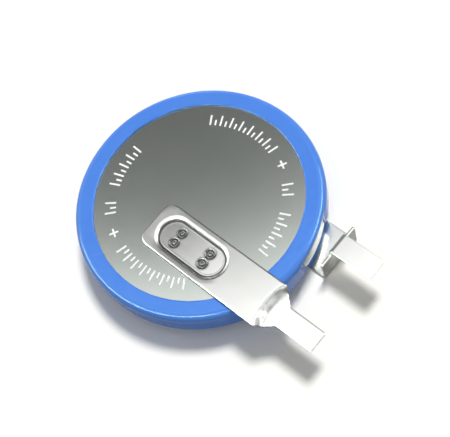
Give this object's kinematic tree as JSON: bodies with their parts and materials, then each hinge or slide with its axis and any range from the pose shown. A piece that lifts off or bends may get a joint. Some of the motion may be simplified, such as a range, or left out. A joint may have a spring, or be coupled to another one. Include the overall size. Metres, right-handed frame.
{
  "type": "lithium coin cell",
  "caption": "Flat round lithium cell in a shrunk insulating sleeve, with welded sheet tabs that end in flat solder strips beside each other.",
  "frame": {"origin": "on the cell's axis, in the plane of the negative cap's flat face", "axes": "+Z along the cell's axis towards the positive can's flat face; both solder strips point along -Y; the positive tab lies on the -X side and the negative tab on the +X side"},
  "size_m": [0.0204, 0.0252, 0.0038],
  "materials": {
    "cell_steel": "drawn, satin",
    "tab_metal": "plated, bright",
    "sleeve_film": "shrunk, glossy",
    "seal_plastic": "moulded",
    "cathode_powder": "pressed",
    "separator_film": "porous",
    "lithium_metal": "rolled"
  },
  "bodies": {
    "root": {"positive_can": "cell_steel", "negative_cap": "cell_steel", "seal_ring": "seal_plastic", "cathode_pellet": "cathode_powder", "cathode_collector": "cell_steel", "separator": "separator_film", "lithium_anode": "lithium_metal", "insulating_sleeve": "sleeve_film", "positive_tab": "tab_metal", "negative_tab": "tab_metal"}
  },
  "joints": []
}
